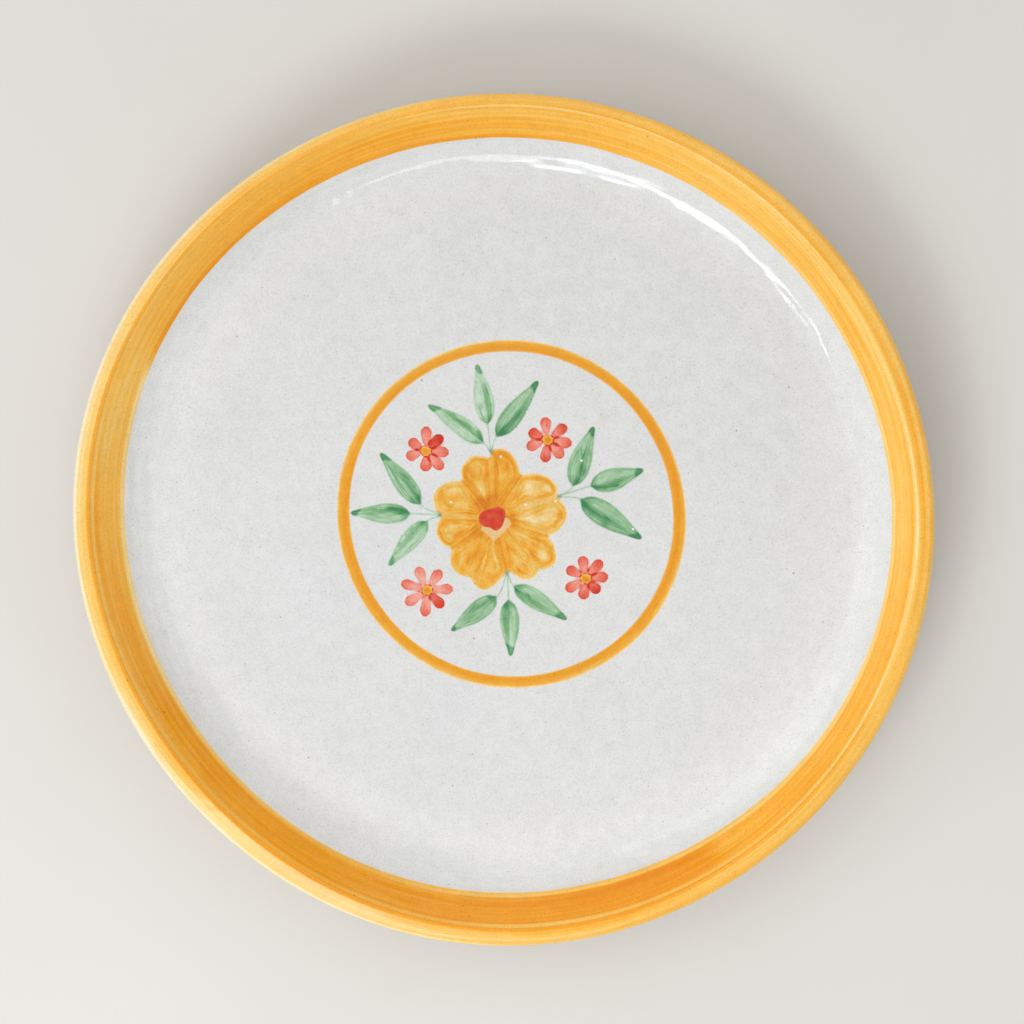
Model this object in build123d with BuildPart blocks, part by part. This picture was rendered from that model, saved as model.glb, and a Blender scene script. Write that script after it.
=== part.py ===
from build123d import *
import math
import os

# Hand painted dinner plate: one stoneware body, the glazes that coat it, and the paint on its floor.
# Millimetres, +Z up. The origin is on the plate's axis, in the plane that the foot ring stands on.

# Body
plate_radius = 135.0        # outermost point of the lip
floor_height = 8.0          # glazed floor above the table
ridge_radius = 129.7        # inner edge of the lip, its highest line
ridge_height = 25.4
wall_slope = 52.0           # inside of the wall, degrees above the horizontal
outer_wall_slope = 49.0     # outside of the wall, so that the wall thickens towards the lip
lip_slope = 8.0             # the lip falls outwards
cove_radius = 16.0          # floor to wall, inside
heel_radius = 20.0          # underside to wall, outside
ridge_round = 1.0
lip_round = 2.6
base_height = 3.0           # glazed underside above the table

# Foot ring
foot_outer_radius = 92.0
foot_inner_radius = 85.0
foot_round = 1.2

# Coats
glaze_thickness = 0.35
paint_thickness = 0.08      # a brush mark stands this far above the glazed floor
band_inner_radius = 121.15  # where the yellow band starts on the inside of the wall
band_outer_height = 16.5    # where it ends on the outside of the wall

# Ring line of the medallion, drawn a little off the plate's axis
ring_centre = (2.5, 1.7)
ring_radius = 54.15
ring_width = 3.8

# Main flower. Each lobe is one fat brush mark: the valley that it starts from, its shoulder, its crown
# and its far shoulder, in degrees round the flower and millimetres from the flower's centre.
flower_centre = (-3.3, 0.8)
petal_names = ["top_petal", "right_petal", "lower_right_petal", "lower_left_petal", "left_petal"]
petal_lobes = [
    [(129, 14.7), (119, 19.5), (107, 20.8), (98, 19.9)],
    [(92, 19.3), (88, 22.0), (80, 22.3), (67, 19.5)],
    [(57, 16.3), (47, 19.8), (32, 22.7), (24, 22.6)],
    [(20, 21.0), (13, 22.9), (5, 23.6), (-10, 21.3)],
    [(-18, 17.9), (-29, 23.0), (-37, 24.4), (-46, 22.8)],
    [(-50, 21.8), (-54, 23.1), (-60, 22.9), (-69, 19.7)],
    [(-75, 17.0), (-90, 22.0), (-98, 23.6), (-106, 22.3)],
    [(-111, 20.4), (-118, 21.3), (-126, 21.2), (-136, 19.0)],
    [(-143, 16.5), (-151, 18.2), (-164, 19.0), (-175, 17.7)],
    [(-182, 15.8), (-188, 18.4), (-201, 20.4), (-214, 19.2)],
]
lobes_per_petal = 2
mark_gap = 0.06             # bare line between neighbouring brush marks
heart_edge = [(173, 4.5), (146, 3.8), (110, 3.1), (77, 3.7), (35, 4.5), (350, 3.7), (313, 3.9), (283, 4.2),
              (252, 3.3), (225, 4.0)]

# Leaves: where each starts, where its tip is, its width and how far it bows to the left of its axis. A shape
# gives places along a brush mark as a share of its length, with its fullness there as a share of its width.
leaf_shape = [(0.06, 0.48), (0.38, 1.00), (0.76, 0.56), (0.93, 0.28), (0.98, 0.17)]
leaf_sprays = {
    "north": ((-3.9, 21.7), {
        "left": ((-6.3, 25.0), (-24.0, 36.9), 6.4, -0.4),
        "middle": ((-5.0, 30.9), (-8.4, 50.0), 6.6, -0.2),
        "right": ((-2.2, 27.1), (11.1, 44.9), 6.6, -0.1),
    }),
    "east": ((17.3, 8.0), {
        "left": ((22.2, 11.5), (28.7, 30.5), 7.1, 0.3),
        "middle": ((27.9, 11.6), (44.5, 16.9), 7.4, -0.1),
        "right": ((24.7, 7.2), (44.1, -5.2), 8.0, 0.1),
    }),
    "south": ((1.3, -16.4), {
        "left": ((3.4, -21.1), (20.4, -31.8), 6.5, 0.1),
        "middle": ((1.7, -25.8), (2.4, -44.1), 6.4, 0.1),
        "right": ((-2.2, -24.7), (-16.8, -36.1), 6.5, 0.1),
    }),
    "west": ((-19.8, 1.6), {
        "left": ((-24.4, -0.5), (-36.9, -15.1), 6.3, -0.2),
        "middle": ((-29.9, 1.9), (-49.1, 1.9), 6.7, 0.1),
        "right": ((-26.7, 5.0), (-39.4, 21.4), 6.6, -0.1),
    }),
}
stem_width = 0.55
stem_stop = 0.2             # a stem ends this far short of its leaf

# Small blossoms: centre, turn of the heart, and each petal's bearing in degrees and reach in millimetres
petal_shape = [(0.10, 0.46), (0.38, 0.80), (0.66, 1.00), (0.85, 0.84), (0.96, 0.48)]
petal_width = 3.4
petal_start = 1.7
blossoms = {
    "north_west": ((-24.8, 22.2), -20,
                   [(88, 7.7), (42, 7.2), (-3, 7.3), (-47, 7.9), (-91, 6.5), (-161, 6.5), (148, 6.2)]),
    "north_east": ((14.1, 26.2), 0,
                   [(97, 7.1), (38, 7.4), (-9, 7.7), (-50, 7.4), (-97, 7.2), (-158, 7.1), (156, 6.5)]),
    "south_west": ((-24.6, -22.9), 60,
                   [(112, 8.0), (56, 7.9), (4, 8.3), (-47, 7.5), (-95, 8.6), (-146, 8.4), (165, 8.6)]),
    "south_east": ((26.4, -18.3), 10,
                   [(99, 7.2), (49, 7.7), (5, 7.1), (-46, 6.2), (-97, 6.8), (-148, 7.4), (152, 6.8)]),
}
blossom_heart_edge = [(20, 1.5), (80, 1.2), (150, 1.5), (215, 1.3), (290, 1.55)]

floor = Plane.XY.offset(floor_height)
os.makedirs("parts", exist_ok=True)


def save(piece, name):
    piece.part.label = name
    export_step(piece.part, f"parts/{name}.step")


def polar(centre, degrees, radius):
    """The point at that bearing and distance from the centre."""
    angle = math.radians(degrees)
    return Vector(centre[0] + radius * math.cos(angle), centre[1] + radius * math.sin(angle))


def crossing(point, slope, other_point, other_slope):
    """Where two straight lines of the section meet, each given by a point and its slope in degrees."""
    rise = math.tan(math.radians(slope))
    other_rise = math.tan(math.radians(other_slope))
    gap = other_point[1] - point[1] + rise * point[0] - other_rise * other_point[0]
    radius = gap / (rise - other_rise)
    return radius, point[1] + rise * (radius - point[0])


def square_to_wall(point, wall_angle, distance):
    """The point that far inwards and up, square to a face of the wall."""
    angle = math.radians(wall_angle)
    return point[0] - distance * math.sin(angle), point[1] + distance * math.cos(angle)


# ---- Section of the glazed plate, in radius and height ----

slope = math.radians(wall_slope)
outer_slope = math.radians(outer_wall_slope)
fall = math.radians(lip_slope)
ridge = (ridge_radius, ridge_height)
inner_corner = (ridge_radius - (ridge_height - floor_height) / math.tan(slope), floor_height)
lip_centre_radius = plate_radius - lip_round
lip_drop = (lip_round + (lip_centre_radius - ridge_radius) * math.sin(fall)) / math.cos(fall)
lip_centre_height = ridge_height - lip_drop
wall_tangent = (lip_centre_radius + lip_round * math.sin(outer_slope),
                lip_centre_height - lip_round * math.cos(outer_slope))
lip_corner = crossing(ridge, -lip_slope, wall_tangent, outer_wall_slope)
heel_corner = (wall_tangent[0] - (wall_tangent[1] - base_height) / math.tan(outer_slope), base_height)

with BuildSketch() as glazed_section:
    with BuildLine():
        outline = FilletPolyline(
            (0, floor_height), inner_corner, ridge, lip_corner, heel_corner, (0, base_height),
            radius=[cove_radius, ridge_round, lip_round, heel_radius],
        )
        Line(outline @ 1, outline @ 0)
    make_face()
    mirror(about=Plane.YZ)

with BuildSketch() as bisque_section:
    add(glazed_section.sketch)
    offset(amount=-glaze_thickness, mode=Mode.REPLACE)

with BuildSketch() as skin_section:
    add(glazed_section.sketch)
    add(bisque_section.sketch, mode=Mode.SUBTRACT)

# The coats are parts of that skin, cut apart along a line through the middle of the clay. Two coats of one
# face meet where a line crosses the wall square to it.
middle_height = (floor_height + base_height) / 2
wall_middle = 2.6           # into the clay from a face of the wall
corner_rise = 1.5           # of the clay's middle at the turn from floor to wall
beyond = 6.0                # clear of the plate
band_start = (band_inner_radius, ridge_height - (ridge_radius - band_inner_radius) * math.tan(slope))
band_end_radius = wall_tangent[0] - (wall_tangent[1] - band_outer_height) / math.tan(outer_slope)
band_end = (band_end_radius, band_outer_height)
band_start_clay = square_to_wall(band_start, wall_slope, -wall_middle)
band_start_air = square_to_wall(band_start, wall_slope, beyond)
band_end_clay = square_to_wall(band_end, outer_wall_slope, wall_middle)
band_end_air = square_to_wall(band_end, outer_wall_slope, -beyond)
floor_end = (inner_corner[0] - beyond, middle_height)
clay_corner = (inner_corner[0], middle_height + corner_rise)
outside = plate_radius + beyond
above = ridge_height + beyond

coats = {
    "face_glaze": [(0, middle_height), floor_end, clay_corner, band_start_clay, band_start_air, (0, above)],
    "rim_band": [band_start_air, band_start_clay, band_end_clay, band_end_air, (outside, above),
                 (ridge_radius - beyond, above)],
    "back_glaze": [band_end_air, band_end_clay, band_start_clay, clay_corner, floor_end,
                   (foot_outer_radius, middle_height), (foot_outer_radius, 0), (outside, 0)],
    "foot_well_glaze": [(0, middle_height), (foot_inner_radius, middle_height), (foot_inner_radius, 0),
                        (0, 0)],
}

# ---- Clay body ----

with BuildPart() as clay_body:
    with BuildSketch(Plane.XZ) as body_section:
        add(bisque_section.sketch)
        with Locations(((foot_inner_radius + foot_outer_radius) / 2, middle_height / 2)):
            Rectangle(foot_outer_radius - foot_inner_radius, middle_height)
        fillet(body_section.vertices().group_by(Axis.Y)[0], radius=foot_round)
        with Locations((outside / 2, above / 2)):
            Rectangle(outside, above, mode=Mode.INTERSECT)
    revolve(axis=Axis.Z)
save(clay_body, "clay_body")

# ---- Glazes ----

for coat_name, region in coats.items():
    with BuildPart() as coat:
        with BuildSketch(Plane.XZ):
            add(skin_section.sketch)
            with BuildLine():
                Polyline(region, close=True)
            make_face(mode=Mode.INTERSECT)
        revolve(axis=Axis.Z)
    save(coat, coat_name)

# ---- Ring line ----

with BuildPart() as ring_line:
    with BuildSketch(floor):
        with Locations(ring_centre):
            Circle(ring_radius + ring_width / 2)
            Circle(ring_radius - ring_width / 2, mode=Mode.SUBTRACT)
    extrude(amount=paint_thickness)
save(ring_line, "ring_line")

# ---- Main flower ----

heart_points = [polar(flower_centre, degrees, radius) for degrees, radius in heart_edge]
with BuildPart() as flower_heart:
    with BuildSketch(floor) as heart_sketch:
        with BuildLine():
            Spline(heart_points, periodic=True)
        make_face()
    extrude(amount=paint_thickness)
save(flower_heart, "flower_heart")


def lobe_edge(index):
    """The lobe's outer edge, from valley to valley, held off its neighbours by half the gap."""
    start, *crown = petal_lobes[index]
    end = petal_lobes[(index + 1) % len(petal_lobes)][0]
    start_inset = math.degrees(mark_gap / 2 / start[1])
    end_inset = math.degrees(mark_gap / 2 / end[1])
    edge = [(start[0] - start_inset, start[1]), *crown, (end[0] + end_inset, end[1])]
    return [polar(flower_centre, degrees, radius) for degrees, radius in edge]


for petal, petal_name in enumerate(petal_names):
    with BuildPart() as petal_part:
        for lobe in range(petal * lobes_per_petal, (petal + 1) * lobes_per_petal):
            edge = lobe_edge(lobe)
            toward_lobe = (edge[0] + edge[-1]) / 2 - Vector(*flower_centre)
            root = Vector(*flower_centre) + toward_lobe.normalized() * mark_gap
            with BuildSketch(floor):
                with BuildLine():
                    Spline(edge)
                    Polyline(edge[-1], root, edge[0])
                make_face()
                with BuildLine():
                    Spline(heart_points, periodic=True)
                make_face(mode=Mode.SUBTRACT)
            extrude(amount=paint_thickness)
    save(petal_part, petal_name)

# ---- Leaves and stems ----


def mark_side(base, tip, width, bow, side, shape):
    """One side of a brush mark as points from base to tip. Side is 1 for the left and -1 for the right."""
    along = tip - base
    left = Vector(-along.Y, along.X).normalized()
    points = [base]
    for share, fullness in shape:
        offset_left = side * width / 2 * fullness + 4 * bow * share * (1 - share)
        points.append(base + along * share + left * offset_left)
    return [*points, tip]


for spray, (joint, leaves) in leaf_sprays.items():
    for place, (base, tip, width, bow) in leaves.items():
        base, tip = Vector(*base), Vector(*tip)
        with BuildPart() as leaf:
            with BuildSketch(floor):
                with BuildLine():
                    Spline(mark_side(base, tip, width, bow, 1, leaf_shape))
                    Spline(mark_side(base, tip, width, bow, -1, leaf_shape))
                make_face()
            extrude(amount=paint_thickness)
        save(leaf, f"{spray}_{place}_leaf")

    with BuildPart() as stems:
        with BuildSketch(floor):
            for base, tip, width, bow in leaves.values():
                toward_joint = (Vector(*joint) - Vector(*base)).normalized()
                leaf_direction = (Vector(*tip) - Vector(*base)).normalized()
                with BuildLine():
                    Spline(joint, Vector(*base) + toward_joint * stem_stop,
                           tangents=[-toward_joint, leaf_direction])
                trace(line_width=stem_width)
        extrude(amount=paint_thickness)
    save(stems, f"{spray}_stems")

# ---- Small blossoms ----

for corner, (centre, heart_turn, petals) in blossoms.items():
    with BuildPart() as blossom:
        for bearing, reach in petals:
            base = polar(centre, bearing, petal_start)
            tip = polar(centre, bearing, reach)
            across = Vector(base.Y - tip.Y, tip.X - base.X)
            with BuildSketch(floor):
                with BuildLine():
                    for side in (1, -1):
                        Spline(mark_side(base, tip, petal_width, 0, side, petal_shape),
                               tangents=[across * side, across * -side])
                make_face()
            extrude(amount=paint_thickness)
    save(blossom, f"{corner}_blossom")

    with BuildPart() as blossom_heart:
        with BuildSketch(floor):
            with BuildLine():
                Spline([polar(centre, heart_turn + degrees, radius)
                        for degrees, radius in blossom_heart_edge], periodic=True)
            make_face()
        extrude(amount=paint_thickness)
    save(blossom_heart, f"{corner}_blossom_heart")
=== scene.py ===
import math

import bpy
import numpy as np
from mathutils import Matrix, Vector, noise


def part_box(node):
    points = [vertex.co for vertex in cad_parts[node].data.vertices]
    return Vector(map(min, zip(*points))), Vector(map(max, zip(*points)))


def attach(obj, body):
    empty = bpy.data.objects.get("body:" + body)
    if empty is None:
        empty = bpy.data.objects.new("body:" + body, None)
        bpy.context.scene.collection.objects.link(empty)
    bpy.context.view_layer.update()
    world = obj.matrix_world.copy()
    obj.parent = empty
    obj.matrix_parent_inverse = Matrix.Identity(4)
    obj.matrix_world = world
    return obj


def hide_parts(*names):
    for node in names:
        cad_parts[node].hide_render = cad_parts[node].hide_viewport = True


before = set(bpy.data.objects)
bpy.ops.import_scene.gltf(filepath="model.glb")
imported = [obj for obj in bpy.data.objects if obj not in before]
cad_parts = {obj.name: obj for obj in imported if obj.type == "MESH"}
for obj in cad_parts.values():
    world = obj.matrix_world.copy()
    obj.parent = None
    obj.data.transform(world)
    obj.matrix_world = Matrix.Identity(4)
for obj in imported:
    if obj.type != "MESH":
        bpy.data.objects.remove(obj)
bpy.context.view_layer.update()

# Looks of the hand painted plate. Lengths are in millimetres and angles in degrees, and every mesh is
# scaled to metres as it is made. Bearings turn from +X towards +Y.
MM = 0.001

# ---- Sizes of the CAD section ----

GLAZE = 0.35                # thickness of the coats
WALL_SLOPE = 52.0           # inside of the wall, above the horizontal
OUTER_WALL_SLOPE = 49.0
LIP_SLOPE = 8.0             # the lip falls outwards
COVE_RADIUS = 16.0
HEEL_RADIUS = 20.0
RIDGE_ROUND = 1.0
LIP_ROUND = 2.6
FOOT_ROUND = 1.2
RIDGE_HEIGHT = 25.4         # where the wall and the lip would meet if the ridge weren't rounded
RIDGE_RADIUS = 129.7
BAND_INNER_RADIUS = 121.15  # where the yellow band starts
BAND_OUTER_HEIGHT = 16.5    # where it ends, on the outside of the wall
FLOOR_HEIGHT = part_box("ring_line")[0].z / MM
BASE_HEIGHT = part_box("foot_well_glaze")[0].z / MM
PLATE_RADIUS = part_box("rim_band")[1].x / MM
FOOT_INNER_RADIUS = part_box("foot_well_glaze")[1].x / MM
FOOT_OUTER_RADIUS = 92.0

# ---- The section, read by the distance along it ----


def unit(vector):
    return vector / np.linalg.norm(vector)


class Section:
    """Straight runs joined by tangent arcs, in radius and height. Its outside is on the left."""

    def __init__(self, corners, radii):
        corners = [np.array(corner, float) for corner in corners]
        self.spans = []
        start = corners[0]
        for before, corner, after, radius in zip(corners, corners[1:], corners[2:], radii):
            back = unit(before - corner)
            ahead = unit(after - corner)
            half = math.acos(float(back @ ahead)) / 2
            reach = radius / math.tan(half)
            self.add_line(start, corner + back * reach)
            centre = corner + unit(back + ahead) * radius / math.sin(half)
            start = corner + ahead * reach
            self.add_arc(centre, corner + back * reach, start)
        self.add_line(start, corners[-1])
        self.ends = np.cumsum([0.0] + [length for length, _, _ in self.spans])
        self.length = float(self.ends[-1])
        self.along = np.linspace(0, self.length, 4000)
        self.radii = np.array([self.at(distance)[0][0] for distance in self.along])
        self.turn = int(self.radii.argmax())

    def add_line(self, start, end):
        step = end - start
        length = float(np.linalg.norm(step))
        normal = np.array([-step[1], step[0]]) / length
        self.spans.append((length, math.inf, lambda distance: (start + step * distance / length, normal)))

    def add_arc(self, centre, start, end):
        spoke = start - centre
        last = end - centre
        radius = float(np.linalg.norm(spoke))
        sweep = math.atan2(spoke[0] * last[1] - spoke[1] * last[0], float(spoke @ last))
        length = radius * abs(sweep)
        first = math.atan2(spoke[1], spoke[0])
        side = -math.copysign(1.0, sweep)

        def at(distance):
            angle = first + sweep * distance / length
            direction = np.array([math.cos(angle), math.sin(angle)])
            return centre + radius * direction, side * direction
        self.spans.append((length, radius, at))

    def at(self, distance):
        """The point and the outward normal that far along."""
        index = min(int(np.searchsorted(self.ends, distance, side="right")) - 1, len(self.spans) - 1)
        return self.spans[index][2](distance - self.ends[index])

    def going_out(self, radius):
        return float(np.interp(radius, self.radii[:self.turn + 1], self.along[:self.turn + 1]))

    def coming_back(self, radius):
        return float(np.interp(-radius, -self.radii[self.turn:], self.along[self.turn:]))

    def stations(self, start, end, step, arc_step=9.0):
        """Distances from start to end, closer together round a tight arc."""
        found = [start]
        for (_, radius, _), low, high in zip(self.spans, self.ends, self.ends[1:]):
            low = max(low, start)
            high = min(high, end)
            if high - low < 1e-6:
                continue
            count = math.ceil((high - low) / min(step, radius * math.radians(arc_step)))
            found += list(np.linspace(low, high, count + 1)[1:])
        return found


slope = math.radians(WALL_SLOPE)
outer_slope = math.radians(OUTER_WALL_SLOPE)
fall = math.radians(LIP_SLOPE)
inner_corner = (RIDGE_RADIUS - (RIDGE_HEIGHT - FLOOR_HEIGHT) / math.tan(slope), FLOOR_HEIGHT)
lip_centre_radius = PLATE_RADIUS - LIP_ROUND
lip_drop = (LIP_ROUND + (lip_centre_radius - RIDGE_RADIUS) * math.sin(fall)) / math.cos(fall)
lip_centre_height = RIDGE_HEIGHT - lip_drop
tangent_radius = lip_centre_radius + LIP_ROUND * math.sin(outer_slope)
tangent_height = lip_centre_height - LIP_ROUND * math.cos(outer_slope)
# The lip and the outside of the wall, each carried on as a straight line, meet here.
corner_radius = ((RIDGE_HEIGHT - tangent_height + math.tan(outer_slope) * tangent_radius
                  + math.tan(fall) * RIDGE_RADIUS) / (math.tan(outer_slope) + math.tan(fall)))
lip_corner = (corner_radius, RIDGE_HEIGHT - math.tan(fall) * (corner_radius - RIDGE_RADIUS))
heel_corner = (tangent_radius - (tangent_height - BASE_HEIGHT) / math.tan(outer_slope), BASE_HEIGHT)

plate = Section(
    [(0, FLOOR_HEIGHT), inner_corner, (RIDGE_RADIUS, RIDGE_HEIGHT), lip_corner, heel_corner,
     (0, BASE_HEIGHT)],
    [COVE_RADIUS, RIDGE_ROUND, LIP_ROUND, HEEL_RADIUS],
)
band_end_radius = tangent_radius - (tangent_height - BAND_OUTER_HEIGHT) / math.tan(outer_slope)

AT_CALM = plate.going_out(100.0)        # the floor is a true circle up to here
AT_BAND = plate.going_out(BAND_INNER_RADIUS)
AT_RIDGE = plate.going_out(RIDGE_RADIUS)
AT_OUTSIDE = plate.going_out(PLATE_RADIUS - 0.001)
AT_BAND_END = plate.coming_back(band_end_radius)
AT_HEEL = plate.coming_back(heel_corner[0])
AT_FOOT_OUTER = plate.coming_back(FOOT_OUTER_RADIUS)
AT_FOOT_INNER = plate.coming_back(FOOT_INNER_RADIUS)

# ---- Marks of the hand: the plate is a little out of round, and its glaze lies in soft swells ----

# Waves round the plate, as (how many, height, bearing of a crest)
BORDER_WAVES = [(1, 0.45, 19), (2, 0.45, -6), (3, 0.30, 18), (4, 0.40, -17)]
RIDGE_WAVES = [(1, 0.60, 80), (2, 0.25, -70), (3, 0.50, 48), (4, 0.55, -6)]
OUTSIDE_WAVES = [(1, 0.80, -112), (2, 0.30, 35), (3, 0.50, 42), (4, 0.35, -10)]
LIFT_WAVES = [(2, 0.12, 60), (3, 0.08, -20), (5, 0.05, 100)]


def waves(turns, parts):
    return sum(height * np.cos(count * (turns - math.radians(crest))) for count, height, crest in parts)


def out_of_round(turns, distance):
    """How far the plate's section stands out and up there, at each bearing."""
    border = np.interp(distance, [AT_CALM, AT_BAND, AT_RIDGE], [0, 1, 0])
    ridge = np.interp(distance, [AT_BAND, AT_RIDGE, AT_OUTSIDE], [0, 1, 0])
    outside = np.interp(distance, [AT_RIDGE, AT_OUTSIDE, AT_HEEL], [0, 1, 0])
    out = (border * waves(turns, BORDER_WAVES) + ridge * waves(turns, RIDGE_WAVES)
           + outside * waves(turns, OUTSIDE_WAVES))
    return out, max(ridge, outside) * waves(turns, LIFT_WAVES)


RUN_LENGTH = 15.0           # size of the runs of glaze, round the plate and along its section
RUN_WIDTH = 2.2


def stacked(x, y, z):
    """Triples of numbers. Each column may also be a single number."""
    return np.stack(np.broadcast_arrays(x, y, z), axis=-1)


def ripple(x, y, z, size):
    """Soft noise, about -1 to 1, whose bumps are about that far apart."""
    spots = stacked(x, y, z) / size
    return np.array([noise.noise(Vector(spot)) for spot in spots.reshape(-1, 3)]).reshape(spots.shape[:-1])


def swell(x, y, z, distance):
    """Height of the glaze's swells: faint on the floor, stronger where it ran together in the cove."""
    places = [AT_CALM, AT_BAND - 12, AT_BAND - 2, AT_RIDGE, AT_OUTSIDE]
    broad = np.interp(distance, places, [0.03, 0.26, 0.20, 0.03, 0.03])
    runs = np.interp(distance, places, [0.0, 0.15, 0.13, 0.012, 0.006])
    fine = np.interp(distance, places, [0.0, 0.06, 0.05, 0.004, 0.0])
    # Runs of glaze are several times as long round the plate as they are wide.
    run = ripple(x / RUN_LENGTH, y / RUN_LENGTH, distance / RUN_WIDTH, 1.0)
    return broad * ripple(x, y, z, 17) + runs * run + fine * ripple(x, y, z, 3.5)


def floor_surface(x, y):
    """Height of the glazed floor, inside the cove."""
    return FLOOR_HEIGHT + swell(x, y, FLOOR_HEIGHT, 0.0)


# ---- Meshes ----


def add_object(name, data):
    made = bpy.data.objects.new(name, data)
    bpy.context.scene.collection.objects.link(made)
    return made


def make_piece(name, points, faces, paint):
    """A mesh piece that stands in for the CAD node of that name, from points in millimetres."""
    material, slot = paint
    mesh = bpy.data.meshes.new(name)
    mesh.from_pydata([tuple(point) for point in np.asarray(points) * MM], [], faces)
    mesh.update()
    mesh.shade_smooth()
    mesh.set_sharp_from_angle(angle=math.radians(35))
    mesh.materials.append(material)
    piece = add_object(name, mesh)
    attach(piece, "root")
    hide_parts(name)
    return piece


def give(piece, name, values):
    """Stores a number or a vector at each of the piece's vertices."""
    values = np.asarray(values, np.float32)
    if values.ndim == 1:
        piece.data.attributes.new(name, "FLOAT", "POINT").data.foreach_set("value", values)
    else:
        piece.data.attributes.new(name, "FLOAT_VECTOR", "POINT").data.foreach_set("vector", values.ravel())


FULL_TURN_STEPS = 720       # vertices in a ring of HALVING_RADIUS or more
FEWEST_STEPS = 45
HALVING_RADIUS = 70


def steps_round(radius):
    """How many vertices a ring of that radius has. It halves again and again towards the axis."""
    if radius < 0.01:
        return 1
    steps = FULL_TURN_STEPS
    while steps > FEWEST_STEPS and radius < HALVING_RADIUS * steps / FULL_TURN_STEPS:
        steps //= 2
    return steps


def ring_faces(first, first_count, second, second_count):
    """Faces between two rings of vertices. One may have twice as many as the other, or be a single point."""
    if first_count > second_count:
        return [face[::-1] for face in ring_faces(second, second_count, first, first_count)]
    if first_count == 1:
        return [(first, second + i, second + (i + 1) % second_count) for i in range(second_count)]
    faces = []
    for i in range(first_count):
        j = (i + 1) % first_count
        if first_count == second_count:
            faces.append((first + i, second + i, second + j, first + j))
        else:
            near, middle, far = second + 2 * i, second + 2 * i + 1, second + 2 * j
            faces += [(first + i, near, middle), (first + i, middle, first + j), (first + j, middle, far)]
    return faces


def lathe(name, rows, closed, paint):
    """A turned piece. Each row is (section, distance along it, depth under its surface)."""
    points = []
    laps = []
    starts = []
    counts = []
    for section, distance, depth in rows:
        spot, normal = section.at(distance)
        count = steps_round(spot[0])
        turns = np.arange(count) * math.tau / count
        east, north = np.cos(turns), np.sin(turns)
        radius = spot[0] - normal[0] * depth
        height = spot[1] - normal[1] * depth
        if section is plate:
            out, up = out_of_round(turns, distance)
            rise = swell(radius * east, radius * north, height, distance)
            radius = radius + out + rise * normal[0]
            height = height + up + rise * normal[1]
        if count == 1:
            radius = 0.0
        starts.append(len(points))
        counts.append(count)
        points += list(stacked(radius * east, radius * north, height))
        laps += list(stacked(distance - AT_BAND, east, north))
    faces = []
    for i in range(len(rows) - (not closed)):
        j = (i + 1) % len(rows)
        faces += ring_faces(starts[i], counts[i], starts[j], counts[j])
    give(make_piece(name, points, faces, paint), "lap", laps)


def coat(name, start, end, step, paint, closed):
    """A coat of glaze on part of the plate's section, with a coarser inner side."""
    outer = [(plate, distance, 0.0) for distance in plate.stations(start, end, step)]
    inner = [(plate, distance, GLAZE) for distance in plate.stations(start, end, 3 * step, arc_step=20.0)]
    lathe(name, outer + inner[::-1], closed, paint)


# ---- Node helper ----

LIGHT_LEVEL = 1.04          # how bright the lights make a level surface, beside its own colour
GLOSS = 0.034               # what its gloss adds


def shade(hex_colour):
    """The colour that a surface needs to look like this sRGB colour in the scene's light."""
    channels = [int(hex_colour[i:i + 2], 16) / 255 for i in (1, 3, 5)]
    linear = [c / 12.92 if c <= 0.04045 else ((c + 0.055) / 1.055) ** 2.4 for c in channels]
    return [max(c - GLOSS, 0.0) / LIGHT_LEVEL for c in linear] + [1]


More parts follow.
